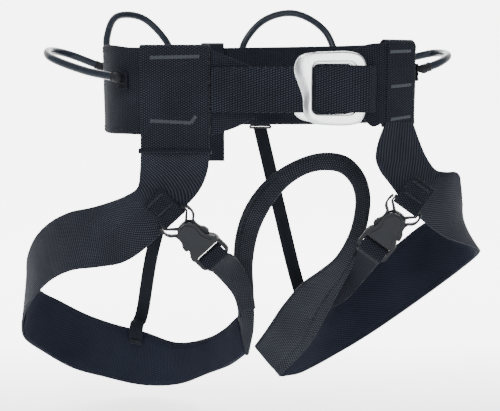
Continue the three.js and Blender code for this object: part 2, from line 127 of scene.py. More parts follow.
# ---------------------------------------------------------------- node helpers
class Shader:
    """A Principled material and short ways to add nodes to it."""

    def __init__(self, name):
        self.material = bpy.data.materials.new(name)
        self.material.use_nodes = True
        self.tree = self.material.node_tree
        self.principled = self.tree.nodes["Principled BSDF"]

    def node(self, kind, **inputs):
        node = self.tree.nodes.new(kind)
        for key, value in inputs.items():
            self.set(node.inputs[key.replace("_", " ")], value)
        return node

    def set(self, socket, value):
        if isinstance(value, bpy.types.NodeSocket):
            self.tree.links.new(value, socket)
        else:
            socket.default_value = value

    def math(self, operation, a, b=None, c=None):
        node = self.tree.nodes.new("ShaderNodeMath")
        node.operation = operation
        for index, value in enumerate((a, b, c)):
            if value is not None:
                self.set(node.inputs[index], value)
        return node.outputs[0]

    def mix(self, factor, first, second):
        node = self.tree.nodes.new("ShaderNodeMix")
        node.data_type = "RGBA"
        self.set(node.inputs["Factor"], factor)
        self.set(node.inputs["A"], first)
        self.set(node.inputs["B"], second)
        return node.outputs["Result"]

    def noise(self, scale, detail=2.0, stretch=None):
        vector = self.tree.nodes.new("ShaderNodeTexCoord").outputs["Object"]
        if stretch is not None:
            mapping = self.node("ShaderNodeMapping")
            mapping.inputs["Scale"].default_value = stretch
            self.set(mapping.inputs["Vector"], vector)
            vector = mapping.outputs["Vector"]
        node = self.node("ShaderNodeTexNoise", Scale=scale, Detail=detail)
        self.set(node.inputs["Vector"], vector)
        return node.outputs["Fac"]

    def map_range(self, value, low, high, new_low, new_high):
        node = self.tree.nodes.new("ShaderNodeMapRange")
        for index, item in enumerate((value, low, high, new_low, new_high)):
            self.set(node.inputs[index], item)
        return node.outputs[0]

    def bump(self, height, strength, distance):
        node = self.node("ShaderNodeBump", Strength=strength, Distance=distance)
        self.set(node.inputs["Height"], height)
        self.set(self.principled.inputs["Normal"], node.outputs["Normal"])

    def finish(self, **sockets):
        for key, value in sockets.items():
            self.set(self.principled.inputs[key.replace("_", " ")], value)
        return self.material


def uv_axes(shader, name):
    uv = shader.tree.nodes.new("ShaderNodeUVMap")
    uv.uv_map = name
    split = shader.node("ShaderNodeSeparateXYZ")
    shader.set(split.inputs[0], uv.outputs["UV"])
    return split.outputs["X"], split.outputs["Y"]


def yarn_height(shader, across, along, pitch_across, pitch_along, shift):
    """Height of a woven face: warp yarns side by side, each dipping under the weft in turn."""
    column = shader.math("DIVIDE", across, pitch_across)
    row = shader.math("DIVIDE", along, pitch_along)
    ridge = shader.math("ABSOLUTE", shader.math("SINE", shader.math("MULTIPLY", column, math.pi)))
    ridge = shader.math("POWER", ridge, 0.6)
    offset = shader.math("MULTIPLY", shader.math("FLOOR", column), shift)
    wave = shader.math("COSINE", shader.math("MULTIPLY", shader.math("ADD", row, offset), 2 * math.pi))
    dip = shader.map_range(wave, -1.0, 1.0, 0.15, 1.0)
    return shader.math("MULTIPLY", ridge, dip)


def webbing_material(name, dark, crown_highlight, pitch_across, pitch_along, shift=0.5, strength=0.7, turned=False):
    """Woven nylon webbing: yarns in relief, with uneven dye and fuzz. The colour holds painted shade in the
    gaps between yarns and a painted highlight on their crowns.
    """
    shader = Shader(name)
    across, along = uv_axes(shader, "metres")
    if turned:
        across, along = along, across
    height = yarn_height(shader, across, along, pitch_across * MM, pitch_along * MM, shift)
    fibres = shader.noise(2600.0, 2.0)
    patches = shader.noise(26.0, 3.0)
    # Painted light: darker in the gaps between yarns (painted shade) and lighter on their crowns (painted
    # highlight); the fibre and patch noise is fuzz and uneven dye.
    crown = shader.math("POWER", height, 1.6)
    crown = shader.math("MULTIPLY", crown, shader.map_range(fibres, 0.3, 0.7, 0.6, 1.0))
    crown = shader.math("MULTIPLY", crown, shader.map_range(patches, 0.3, 0.7, 0.75, 1.15))
    colour = shader.mix(crown, (*dark, 1), (*crown_highlight, 1))
    relief = shader.math("ADD", height, shader.math("MULTIPLY", fibres, 0.35))
    shader.bump(relief, strength, 0.0006)
    roughness = shader.map_range(fibres, 0.3, 0.7, 0.62, 0.82)
    return shader.finish(
        Base_Color=colour, Roughness=roughness, Sheen_Weight=0.015, Sheen_Roughness=0.5,
        Sheen_Tint=(0.7, 0.8, 1.0, 1.0), Specular_IOR_Level=0.08,
    )


def padding_material(name, dark, crown_highlight):
    """Close knitted lining: fine cross ribs and a soft bloom, with painted shade between the ribs and a
    painted highlight on their crowns.
    """
    shader = Shader(name)
    across, along = uv_axes(shader, "metres")
    height = yarn_height(shader, along, across, 0.0019, 0.0022, 0.5)
    fibres = shader.noise(1800.0, 2.0)
    patches = shader.noise(14.0, 3.0)
    # Painted light: darker between the ribs (painted shade) and lighter on their crowns (painted highlight),
    # varied by patches of uneven tone.
    crown = shader.math("MULTIPLY", height, shader.map_range(patches, 0.3, 0.7, 0.6, 1.1))
    colour = shader.mix(crown, (*dark, 1), (*crown_highlight, 1))
    shader.bump(shader.math("ADD", height, fibres), 0.35, 0.0003)
    return shader.finish(
        Base_Color=colour, Roughness=0.9, Sheen_Weight=0.015, Sheen_Roughness=0.5,
        Sheen_Tint=(0.7, 0.8, 1.0, 1.0), Specular_IOR_Level=0.06,
    )


def thread_material(name, colour):
    shader = Shader(name)
    twist = shader.noise(1500.0, 2.0)
    tone = shader.mix(twist, (*[0.6 * c for c in colour], 1), (*colour, 1))
    shader.bump(twist, 0.5, 0.0002)
    return shader.finish(Base_Color=tone, Roughness=0.7, Sheen_Weight=0.02, Specular_IOR_Level=0.15)


def plastic_material(name, colour, roughness, grain=0.25):
    """Moulded nylon: fine spark texture, handling marks and uneven gloss."""
    shader = Shader(name)
    spark = shader.noise(2200.0, 3.0)
    marks = shader.noise(60.0, 4.0)
    tone = shader.mix(marks, (*[0.82 * c for c in colour], 1), (*[1.15 * c for c in colour], 1))
    shader.bump(spark, grain, 0.00012)
    gloss = shader.map_range(marks, 0.35, 0.65, roughness - 0.06, roughness + 0.1)
    return shader.finish(Base_Color=tone, Roughness=gloss, Specular_IOR_Level=0.32)


def sheath_material():
    """Glossy tubing over the gear loops, with faint marks."""
    shader = Shader("gear_loop_sheath")
    drag = shader.noise(300.0, 2.0)
    scuffs = shader.noise(90.0, 5.0)
    tone = shader.mix(drag, (0.012, 0.016, 0.024, 1), (0.026, 0.033, 0.046, 1))
    shader.bump(scuffs, 0.08, 0.0003)
    gloss = shader.map_range(scuffs, 0.4, 0.7, 0.2, 0.36)
    return shader.finish(Base_Color=tone, Roughness=gloss, IOR=1.28)


def aluminium_material():
    """Tumble polished aluminium: bright, with fine scratches and slightly dull patches."""
    shader = Shader("polished_aluminium")
    scratch = shader.noise(900.0, 4.0, stretch=(1.0, 1.0, 0.12))
    haze = shader.noise(45.0, 3.0)
    tone = shader.mix(haze, (0.80, 0.82, 0.85, 1), (0.93, 0.94, 0.95, 1))
    shader.bump(scratch, 0.03, 0.00005)
    gloss = shader.map_range(shader.math("ADD", scratch, haze), 0.8, 1.2, 0.16, 0.3)
    return shader.finish(Base_Color=tone, Roughness=gloss, Metallic=1.0, Anisotropic=0.2)


def backdrop_material():
    """A white sweep that glows behind the harness and is darker in front and to the sides."""
    shader = Shader("backdrop")
    tone = shader.mix(shader.noise(1.5), (0.90, 0.90, 0.90, 1), (0.92, 0.92, 0.92, 1))
    place = shader.node("ShaderNodeSeparateXYZ")
    shader.set(place.inputs[0], shader.tree.nodes.new("ShaderNodeTexCoord").outputs["Object"])
    behind = shader.map_range(place.outputs["Y"], -0.15, 0.3, 0.0, 1.0)
    sideways = shader.math("ABSOLUTE", place.outputs["X"])
    spread = shader.math("SUBTRACT", sideways, shader.math("MULTIPLY", place.outputs["Y"], 0.28))
    central = shader.map_range(spread, 0.34, 0.62, 1.0, 0.12)
    glow = shader.math("MULTIPLY_ADD", shader.math("MULTIPLY", behind, central), 4.6, 0.4)
    return shader.finish(Base_Color=tone, Roughness=0.9, Specular_IOR_Level=0.1,
                         Emission_Color=(1, 1, 1, 1), Emission_Strength=glow)


# The first colour of each weave and of the lining is its own near-black and also the painted shade between
# yarns and ribs; the lighter second colour is a painted highlight on their crowns.
BLACK = (0.002, 0.0026, 0.0045)
WEAVE_CROWN_HIGHLIGHT = (0.048, 0.055, 0.078)
MATERIALS = {
    "belt": webbing_material("belt_webbing", BLACK, WEAVE_CROWN_HIGHLIGHT, 2.1, 1.9, 0.5, turned=True),
    "tab": webbing_material("tab_webbing", BLACK, WEAVE_CROWN_HIGHLIGHT, 2.1, 2.3),
    "leg": webbing_material("leg_webbing", BLACK, (0.074, 0.084, 0.115), 1.7, 2.4, strength=0.7),
    "strap": webbing_material("waist_strap_webbing", BLACK, WEAVE_CROWN_HIGHLIGHT, 2.5, 2.2, 0.33, turned=True),
    "narrow": webbing_material("narrow_webbing", BLACK, (0.04, 0.046, 0.064), 2.1, 2.3, strength=0.9),
    "elastic": webbing_material("elastic_webbing", (0.004, 0.005, 0.007), (0.026, 0.03, 0.042), 1.5, 1.7),
    "tie": webbing_material("tie_in_webbing", BLACK, (0.07, 0.079, 0.102), 2.2, 2.4),
    "pad": padding_material("pad_lining", (0.0015, 0.002, 0.0045), (0.024, 0.029, 0.046)),
    "thread": thread_material("grey_thread", (0.09, 0.10, 0.12)),
    "dark_thread": thread_material("dark_thread", (0.012, 0.014, 0.019)),
    "edge_thread": thread_material("edge_thread", (0.034, 0.038, 0.048)),
    "buckle": plastic_material("buckle_nylon", (0.0105, 0.0125, 0.0165), 0.45),
    "slider": plastic_material("slider_nylon", (0.008, 0.009, 0.011), 0.4),
    "boot": plastic_material("boot_rubber", (0.006, 0.007, 0.010), 0.62),
    "sheath": sheath_material(),
    "aluminium": aluminium_material(),
}


# ---------------------------------------------------------------- curves and meshes
def spline(points, t):
    """A centripetal Catmull-Rom curve through points; t runs from 0 to len(points) - 1."""
    last = len(points) - 1
    index = min(int(t), last - 1)
    weight = t - index
    p1, p2 = points[index], points[index + 1]
    p0 = points[index - 1] if index > 0 else p1 * 2 - p2
    p3 = points[index + 2] if index + 2 <= last else p2 * 2 - p1
    d0, d1, d2 = (math.sqrt((b - a).length) for a, b in ((p0, p1), (p1, p2), (p2, p3)))
    m1 = ((p1 - p0) / d0 - (p2 - p0) / (d0 + d1) + (p2 - p1) / d1) * d1
    m2 = ((p2 - p1) / d1 - (p3 - p1) / (d1 + d2) + (p3 - p2) / d2) * d1
    w2, w3 = weight ** 2, weight ** 3
    return p1 * (2 * w3 - 3 * w2 + 1) + m1 * (w3 - 2 * w2 + weight) + p2 * (3 * w2 - 2 * w3) + m2 * (w3 - w2)


class Ribbon:
    """The surface between two edge curves, read by station number and share across."""

    def __init__(self, stations):
        self.left = [Vector(s[0]) for s in stations]
        self.right = [Vector(s[1]) for s in stations]
        self.last = len(stations) - 1

    def frame(self, t):
        t = min(max(t, 0.0), float(self.last))
        a, b = spline(self.left, t), spline(self.right, t)
        low, high = max(t - 0.02, 0.0), min(t + 0.02, float(self.last))
        along = (spline(self.left, high) + spline(self.right, high)
                 - spline(self.left, low) - spline(self.right, low))
        across = b - a
        width = across.length
        across.normalize()
        normal = across.cross(along).normalized()
        return (a + b) / 2, across, normal, width

    def point(self, t, share, lift=0.0):
        """Share runs from -1 (first edge) to 1 (second edge); lift is along the normal."""
        centre, across, normal, width = self.frame(t)
        return centre + across * (share * width / 2) + normal * lift

    def even(self, start, stop, step):
        """Station numbers from start to stop about step millimetres apart along the middle."""
        samples = 12 * max(1, int(math.ceil(stop - start)))
        marks = [start + (stop - start) * i / samples for i in range(samples + 1)]
        middle = [self.frame(t)[0] for t in marks]
        reach = [0.0]
        for first, second in zip(middle, middle[1:]):
            reach.append(reach[-1] + (second - first).length)
        count = max(4, int(round(reach[-1] / step)))
        found = []
        k = 0
        for i in range(count + 1):
            goal = reach[-1] * i / count
            while k < samples - 1 and reach[k + 1] < goal:
                k += 1
            share = (goal - reach[k]) / max(reach[k + 1] - reach[k], 1e-9)
            found.append(marks[k] + (marks[k + 1] - marks[k]) * share)
        return found, reach[-1] / count


def new_object(name, vertices, faces, material, smooth=True):
    mesh = bpy.data.meshes.new(name)
    mesh.from_pydata([tuple(MM * c for c in v) for v in vertices], [], faces)
    mesh.materials.append(material)
    for polygon in mesh.polygons:
        polygon.use_smooth = smooth
    piece = bpy.data.objects.new(name, mesh)
    bpy.context.collection.objects.link(piece)
    return piece


def set_uv(mesh, name, values):
    layer = mesh.uv_layers.new(name=name)
    for loop in mesh.loops:
        layer.data[loop.index].uv = values[loop.index]


def section(width, thickness, columns, profile):
    """One closed ring of across and out-of-plane places, with round edges."""
    radius = thickness / 2
    half = width / 2 - radius
    ring = []
    for i in range(columns + 1):
        x = -half + 2 * half * i / columns
        ring.append((x, radius + profile(x / (width / 2), 1)))
    for i in range(1, 5):
        angle = math.pi / 2 - math.pi * i / 5
        ring.append((half + radius * math.cos(angle), radius * math.sin(angle)))
    for i in range(columns + 1):
        x = half - 2 * half * i / columns
        ring.append((x, -radius - profile(x / (width / 2), -1)))
    for i in range(1, 5):
        angle = -math.pi / 2 - math.pi * i / 5
        ring.append((-half + radius * math.cos(angle), radius * math.sin(angle)))
    return ring


def selvedge_profile(share, side):
    """Webbing is a little thicker along its two edges."""
    return 0.12 * math.exp(-((abs(share) - 0.95) / 0.03) ** 2)


def full(t):
    return 1.0


def make_ribbon(name, stations, thickness, material, step=2.0, columns=16, start=0.0, stop=None,
                offset=0.0, inset=0.0, profile=selvedge_profile, ripple=0.0, seed=0.0, taper=full):
    """A closed strap with round edges, UVs in metres and a slow ripple off its surface."""
    ribbon = Ribbon(stations)
    stop = ribbon.last if stop is None else stop
    marks, spacing = ribbon.even(start, stop, step)
    vertices, girth = [], []
    for t in marks:
        centre, across, normal, width = ribbon.frame(t)
        ring = section(width - 2 * inset, thickness, columns, profile)
        length = 0.0
        lengths = [0.0]
        for first, second in zip(ring, ring[1:] + ring[:1]):
            length += math.hypot(second[0] - first[0], second[1] - first[1])
            lengths.append(length)
        girth.append(lengths)
        for x, z in ring:
            base = centre + across * x
            wave = noise.noise(base / 28 + Vector((seed, 0, 0))) * ripple
            fade = taper(t)
            lift = z * (0.25 + 0.75 * fade) + offset * (0.45 + 0.55 * fade) + wave * fade
            vertices.append(base + normal * lift)
    count = len(vertices) // len(marks)
    faces, uvs = [], []
    for row in range(len(marks) - 1):
        for k in range(count):
            nxt = (k + 1) % count
            faces.append((row * count + k, row * count + nxt,
                          (row + 1) * count + nxt, (row + 1) * count + k))
            low, high = row * spacing * MM, (row + 1) * spacing * MM
            uvs.append(((girth[row][k] * MM, low), (girth[row][k + 1] * MM, low),
                        (girth[row + 1][k + 1] * MM, high), (girth[row + 1][k] * MM, high)))
    for row, order in ((0, range(count - 1, -1, -1)), (len(marks) - 1, range(count))):
        faces.append(tuple(row * count + k for k in order))
        uvs.append(tuple((girth[row][k] * MM, row * spacing * MM) for k in order))
    piece = new_object(name, vertices, faces, material)
    flat = [uv for face in uvs for uv in face]
    set_uv(piece.data, "metres", flat)
    fix_normals(piece)
    return piece, ribbon


def fix_normals(piece):
    work = bmesh.new()
    work.from_mesh(piece.data)
    bmesh.ops.recalc_face_normals(work, faces=work.faces)
    work.to_mesh(piece.data)
    work.free()


def make_tube(name, path, radius, material, sides=12):
    """A round tube along a list of points, with flat ends."""
    points = [Vector(p) for p in path]
    tangents = [(points[min(i + 1, len(points) - 1)] - points[max(i - 1, 0)]).normalized()
                for i in range(len(points))]
    side = tangents[0].orthogonal().normalized()
    vertices, faces = [], []
    radii = radius if callable(radius) else (lambda share: radius)
    for i, (point, tangent) in enumerate(zip(points, tangents)):
        side = (side - tangent * side.dot(tangent)).normalized()
        other = tangent.cross(side)
        r = radii(i / (len(points) - 1))
        for k in range(sides):
            angle = 2 * math.pi * k / sides
            vertices.append(point + side * (r * math.cos(angle)) + other * (r * math.sin(angle)))
    for i in range(len(points) - 1):
        for k in range(sides):
            nxt = (k + 1) % sides
            faces.append((i * sides + k, i * sides + nxt, (i + 1) * sides + nxt, (i + 1) * sides + k))
    faces.append(tuple(range(sides - 1, -1, -1)))
    last = (len(points) - 1) * sides
    faces.append(tuple(last + k for k in range(sides)))
    piece = new_object(name, vertices, faces, material)
    fix_normals(piece)
    return piece


def join_pieces(name, pieces):
    """One object from several, keeping their materials."""
    bpy.ops.object.select_all(action="DESELECT")
    for piece in pieces:
        piece.select_set(True)
    bpy.context.view_layer.objects.active = pieces[0]
    bpy.ops.object.join()
    pieces[0].name = name
    pieces[0].data.name = name
    return pieces[0]


def finish_piece(piece, body, slot, *nodes):
    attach(piece, body)
    if nodes:
        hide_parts(*nodes)


# ---------------------------------------------------------------- stitching
def stitch_row(name, ribbon, share, lift, material, start=0.0, stop=None, length=2.6, gap=0.9,
               width=0.8, height=0.35):
    """Short raised stitches along a ribbon at one share of its width."""
    stop = ribbon.last if stop is None else stop
    marks = ribbon.even(start, stop, (length + gap) / 4)[0]
    pieces = []
    outward = 1 if lift > 0 else -1
    for i in range(0, len(marks) - 3, 4):
        points = []
        for j, rise in enumerate((-0.8, 0.25, 0.25, -0.8)):
            t = marks[i] + (marks[min(i + 3, len(marks) - 1)] - marks[i]) * (j / 3) * 0.92
            normal = ribbon.frame(t)[2] * outward
            points.append((ribbon.point(t, share, lift) + normal * rise * height, normal))
        pieces.append(thread_mesh(points, width, height))
    return merge_meshes(name, pieces, material)


def thread_mesh(points, width, height):
    """Vertices and faces of one flattened thread."""
    vertices, faces = [], []
    for i, (place, normal) in enumerate(points):
        before = points[max(i - 1, 0)][0]
        after = points[min(i + 1, len(points) - 1)][0]
        side = (after - before).cross(normal).normalized()
        for x, z in ((-1, -0.6), (-0.6, 0.7), (0.6, 0.7), (1, -0.6)):
            vertices.append(place + side * (x * width / 2) + normal * (z * height))
    for i in range(len(points) - 1):
        for k in range(4):
            nxt = (k + 1) % 4
            faces.append((4 * i + k, 4 * i + nxt, 4 * i + nxt + 4, 4 * i + k + 4))
    last = 4 * (len(points) - 1)
    faces += [(3, 2, 1, 0), (last, last + 1, last + 2, last + 3)]
    return vertices, faces


def merge_meshes(name, parts, material):
    vertices, faces = [], []
    for part_vertices, part_faces in parts:
        base = len(vertices)
        vertices += part_vertices
        faces += [tuple(base + k for k in face) for face in part_faces]
    piece = new_object(name, vertices, faces, material)
    fix_normals(piece)
    return piece


def bar_tack(first, second, normal, width=3.4, pitch=0.75):
    """A bar-tack from first to second: close zigzag threads laid across its length."""
    first, second = Vector(first), Vector(second)
    normal = Vector(normal).normalized()
    along = (second - first).normalized()
    side = normal.cross(along)
    count = max(3, int((second - first).length / pitch))
    parts = []
    for i in range(count):
        middle = first.lerp(second, (i + 0.5) / count)
        half = width / 2 * (1 + 0.06 * math.sin(7.3 * i))
        lean = along * (0.32 * pitch)
        points = [(middle + side * (half * s) + lean * s + normal * rise, normal)
                  for s, rise in ((-1, -0.25), (-0.6, 0.25), (0, 0.42), (0.6, 0.25), (1, -0.25))]
        parts.append(thread_mesh(points, pitch * 0.82, 0.28))
    return parts


# ---------------------------------------------------------------- waist belt and its tabs
BELT_ROWS = [
    (-46, -92.2, -40, 39), (-70, -90.1, -40, 39), (-94, -88, -40, 39.5), (-112, -86.2, -40, 41),
    (-127, -79, -40, 43), (-142, -61, -41, 45), (-156, -16, -42, 45), (-153, 38, -42, 45),
    (-118, 84, -43, 45), (-54, 100, -43, 45), (22, 103, -43, 46), (88, 94, -42, 47),
    (134, 60, -38, 48), (151, 8, -34, 48), (153.4, -32, -33, 47), (152.4, -53, -33, 46),
    (148, -61.9, -33, 45), (140.7, -67.4, -33, 44.5), (128.4, -76.8, -33, 44), (118.5, -84.4, -33, 44),
]
LAYER_STEP = 4 + 3 + 4 * GAP
LEFT_TAB = ([(-112, -90.8), (-46, -96.6)], (0.088, 0.996), 40.5, -54, -36)
RIGHT_TAB = ([(119.5, -89), (151, -65)], (-0.606, 0.795), 45.5, -28, -30)


def belt_profile(share, side):
    """Thicker bound edges and two shallow folded bands along the belt."""
    edge = 0.35 * math.exp(-((abs(share) - 0.93) / 0.05) ** 2)
    seam = -0.22 * math.exp(-((abs(share) - 0.84) / 0.015) ** 2)
    return edge + seam


def make_waist_belt():
    stations = [((x, y, high), (x, y, low)) for x, y, low, high in BELT_ROWS]
    belt, ribbon = make_ribbon("waist_belt_webbing", stations, 3.6, MATERIALS["belt"], 2.0, 40,
                               profile=belt_profile, ripple=0.5, seed=1)
    finish_piece(belt, "waist", "webbing", "waist_belt")
    for share in (-0.86, 0.86):
        for lift in (1.95, -1.95):
            row = stitch_row(f"belt_stitch_{share}_{lift}", ribbon, share, lift, MATERIALS["dark_thread"],
                             length=3.2, gap=1.0)
            finish_piece(row, "waist", "webbing")
    end = [((-45, -93.2, 40), (-45, -93.2, -40)), ((-25, -93.6, 32), (-25, -93.6, -34)),
           ((-3, -94, 23), (-3, -94, -24))]
    tip, _ = make_ribbon("left_belt_tip", end, 2.2, MATERIALS["belt"], 1.6, 24, ripple=0.3, seed=2)
    finish_piece(tip, "waist", "webbing", "left_belt_end")


def tab_stations(outer, inward, top, bottom_outer, bottom_inner):
    rows = [(0, bottom_outer), (0, (bottom_outer + top) / 2), (0, top - 6), (0, top - 1), (0.15, top + 1.6),
            (0.5, top + 3), (0.85, top + 1.6), (1, top - 1), (1, (bottom_inner + top) / 2),
            (1, bottom_inner)]
    return [tuple((x + inward[0] * s * LAYER_STEP, y + inward[1] * s * LAYER_STEP, z) for x, y in outer)
            for s, z in rows]


def make_tabs():
    for side, data in (("left", LEFT_TAB), ("right", RIGHT_TAB)):
        tab, _ = make_ribbon(f"{side}_tab_webbing", tab_stations(*data), 2.6, MATERIALS["tab"],
                             1.8, 30, ripple=0.25, seed=3)
        finish_piece(tab, "waist", "webbing", f"{side}_belt_tab")
    flap_rows = [((88, -94.2, 40), (98, -93.8, -24)), ((102, -93.4, 45), (108, -92.6, -32)),
                 ((118.9, -89.9, 46.6), (119.1, -89.7, -28))]
    flap, _ = make_ribbon("right_flap_webbing", flap_rows, 2.8, MATERIALS["belt"], 1.6, 20, seed=4)
    finish_piece(flap, "waist", "webbing", "right_belt_flap")


def make_left_hem():
    """The leg webbing's turned hem across the foot of the left tab, a little wider than the tab."""
    stations = [((x, y - 1.5, -53.0), (x, y - 1.5, -57.4))
                for x, y in ((-113.8, -90.6), (-100, -91.8), (-86, -93.1), (-72, -94.3), (-58, -95.5),
                             (-44.4, -96.7))]
    hem, ribbon = make_ribbon("left_tab_hem", stations, 4.2, MATERIALS["tab"], 1.5, 8, ripple=0.9, seed=12)
    finish_piece(hem, "waist", "webbing")
    row = stitch_row("left_hem_stitch", ribbon, -1.12, -1.3, MATERIALS["dark_thread"], length=2.4)
    finish_piece(row, "waist", "webbing")


LEFT_TACKS = [((0.16, 32.6), (0.865, 33.6)), ((0.15, -26.4), (0.74, -28.0)), ((0.74, -28.0), (0.81, -21.5))]
RIGHT_TACKS = [((0.1, 38.0), (0.82, 39.0)), ((0.16, 5.5), (0.86, 7.0)), ((0.18, -25.5), (0.86, -23.5))]


def face_tacks(tab, tacks, **size):
    """Bar-tacks on a belt tab's face, each between two (share of its width, height) places."""
    (near_x, near_y), (far_x, far_y) = tab[0]
    normal = -Vector((*tab[1], 0))
    parts = []
    for ends in tacks:
        first, second = (Vector((near_x + (far_x - near_x) * share, near_y + (far_y - near_y) * share, z))
                         + normal * 1.4 for share, z in ends)
        parts += bar_tack(first, second, normal, **size)
    return parts


def make_tab_tacks():
    """Grey bar-tacks on the two belt tabs."""
    parts = face_tacks(LEFT_TAB, LEFT_TACKS) + face_tacks(RIGHT_TAB, RIGHT_TACKS, width=3.0)
    tacks = merge_meshes("tab_bar_tacks", parts, MATERIALS["thread"])
    finish_piece(tacks, "waist", "webbing")


# ---------------------------------------------------------------- waist webbing and buckle
def strap_edges(rows, low, high):
    return [((x, y, high), (x, y, low)) for x, y in rows]


def make_waist_webbing():
    strap_rows = strap_edges([(-44.5, -97), (-10, -97.6), (20, -98.8), (33, -99.1), (47, -99.1)], -18.5, 24)
    strap, _ = make_ribbon("waist_strap_webbing", strap_rows, 2.0, MATERIALS["strap"], 1.6, 24,
                           ripple=0.3, seed=5)
    finish_piece(strap, "waist", "webbing", "waist_strap")
    anchor_rows = strap_edges([(53, -99), (66, -99.4), (77, -102), (84, -105.6), (94, -107.2),
                               (101.5, -106.1), (106.4, -101.4), (109, -96.6)], -18, 25.5)
    anchor, _ = make_ribbon("anchor_webbing", anchor_rows, 2.0, MATERIALS["strap"], 1.4, 24, seed=6)
    finish_piece(anchor, "waist", "webbing", "anchor_strap")


FRONT_FRAME = [
    (34, 28), (33, 20), (36.5, 9), (41, -4), (42, -17), (45, -24), (52, -28.5), (66, -30),
    (84, -30), (94, -27.5), (99, -20), (99, 28), (94, 35), (84, 38), (66, 38), (48, 37), (38, 34),
]
BACK_FRAME = [
    (40, 24), (38, 10), (36, -8), (33, -16), (36, -22), (44, -26), (60, -27.5), (84, -27.5),
    (92, -25), (96, -18), (96, 26), (92, 32), (84, 35), (62, 35), (46, 32),
]


def closed_curve(points, count):
    """Evenly numbered places on a closed smooth curve through plane points."""
    ring = [Vector((x, z, 0)) for x, z in points]
    wrapped = ring[-3:] + ring + ring[:3]
    return [spline(wrapped, 3 + len(ring) * i / count).to_2d() for i in range(count)]


def ray_reach(outline, centre, angle):
    """How far the outline lies from the centre in one direction."""
    direction = Vector((math.cos(angle), math.sin(angle)))
    best = 0.0
    for a, b in zip(outline, outline[1:] + outline[:1]):
        edge = b - a
        cross = direction.x * edge.y - direction.y * edge.x
        if abs(cross) < 1e-12:
            continue
        to_edge = a - centre
        reach = (to_edge.x * edge.y - to_edge.y * edge.x) / cross
        share = (to_edge.x * direction.y - to_edge.y * direction.x) / cross
        if reach > 0 and -1e-9 <= share <= 1 + 1e-9:
            best = max(best, reach)
    return best


def window_outline(left, bottom, right, top, radius, steps=10):
    corners = [(right - radius, top - radius, 0), (left + radius, top - radius, 90),
               (left + radius, bottom + radius, 180), (right - radius, bottom + radius, 270)]
    points = []
    for x, z, turn in corners:
        for i in range(steps + 1):
            angle = math.radians(turn + 90 * i / steps)
            points.append(Vector((x + radius * math.cos(angle), z + radius * math.sin(angle))))
    return points


def make_frame(name, outline, window, thickness, y, count=240, lean=0.0):
    """A formed metal frame: a rounded bar section swept between the window and the outline."""
    outer = closed_curve(outline, 320)
    inner = window_outline(*window)
    centre = Vector(((window[0] + window[2]) / 2, (window[1] + window[3]) / 2))
    section_steps = 10
    vertices, faces = [], []
    for i in range(count):
        angle = 2 * math.pi * i / count
        direction = Vector((math.cos(angle), math.sin(angle)))
        near, far = ray_reach(inner, centre, angle), ray_reach(outer, centre, angle)
        width = far - near
        edge = min(thickness / 2, width / 2) * 0.98
        ring = []
        for k in range(section_steps + 1):
            turn = math.pi / 2 - math.pi * k / section_steps
            ring.append((far - edge + edge * math.cos(turn), math.sin(turn)))
        for k in range(section_steps + 1):
            turn = -math.pi / 2 - math.pi * k / section_steps
            ring.append((near + edge + edge * math.cos(turn), math.sin(turn)))
        for reach, lift in ring:
            place = centre + direction * reach
            share = (reach - near) / width
            fall = lean * max(0.0, -direction.x) ** 2
            crown = fall * min(max(share, 0), 1) ** 1.6 if lift > 0 else 0.0
            vertices.append(Vector((place.x, y - thickness / 2 - lift * thickness / 2 + crown, place.y)))
    size = len(vertices) // count
    for i in range(count):
        for k in range(size):
            a, b = i * size + k, i * size + (k + 1) % size
            c, d = ((i + 1) % count) * size + (k + 1) % size, ((i + 1) % count) * size + k
            faces.append((a, b, c, d))
    piece = new_object(name, vertices, faces, MATERIALS["aluminium"])
    fix_normals(piece)
    return piece


def make_waist_buckle():
    front = make_frame("front_frame_plate", FRONT_FRAME, (50, -19.5, 90, 28.5, 6), 4.0, -100.5, lean=2.4)
    finish_piece(front, "waist_buckle", "aluminium_frame", "buckle_front_frame")
    back = make_frame("back_frame_plate", BACK_FRAME, (50, -20, 88, 27, 6), 2.0, -96)
    finish_piece(back, "waist", "aluminium_frame", "buckle_back_frame")


# ---------------------------------------------------------------- leg loops and tie-in loop
LEFT_LEG = [
    ((-112, -91, -56), (-46, -97, -55)), ((-113, -92, -74), (-48, -98, -73)),
    ((-116, -90, -90), (-56, -100, -92)), ((-128, -83, -99), (-80, -101, -118)),
    ((-146, -74, -107), (-105, -99, -145)), ((-166, -63, -114), (-130, -92, -163)),
    ((-190, -49, -121), (-158, -80, -171)), ((-215, -31, -135), (-187, -64, -178)),
    ((-237, -7, -157), (-214, -44, -194)), ((-252, 20, -186), (-240, -20, -222)),
    ((-258, 46, -212), (-258, 10, -255)), ((-250, 68, -233), (-262, 36, -281)),
    ((-232, 82, -248), (-248, 58, -303)), ((-205, 94, -267), (-218, 78, -330)),
    ((-174, 100, -281), (-184, 88, -344)), ((-134, 100, -292), (-138, 92, -356)),
    ((-96, 88, -301), (-94, 84, -352)), ((-58, 64, -288), (-56, 66, -332)),
    ((-32, 34, -264), (-30, 38, -312)), ((-20, 8, -244), (-10, 10, -288)),
]
RIGHT_LEG = [
    ((120, -89, -30), (151, -66, -31)), ((113, -93, -48), (159, -64, -50)),
    ((111, -96, -62), (167, -62, -66)), ((115, -98, -73), (176, -62, -77)),
    ((124, -98, -85), (186, -60, -79)), ((134, -96, -98), (195, -56, -79)),
    ((148, -89, -113), (202, -48, -83)), ((166, -77, -129), (207, -36, -95)),
    ((188, -60, -145), (213, -18, -112)), ((212, -36, -156), (218, 4, -123)),
    ((234, -10, -167), (217, 28, -132)), ((242, 20, -180), (208, 50, -141)),
    ((228, 46, -204), (190, 68, -154)), ((198, 64, -235), (164, 80, -179)),
    ((162, 74, -266), (137, 84, -203)), ((125, 72, -291), (111, 80, -222)),
    ((86, 62, -310), (94, 72, -232)), ((50, 46, -322), (85, 60, -237)),
    ((25, 28, -322), (76, 46, -243)),
]
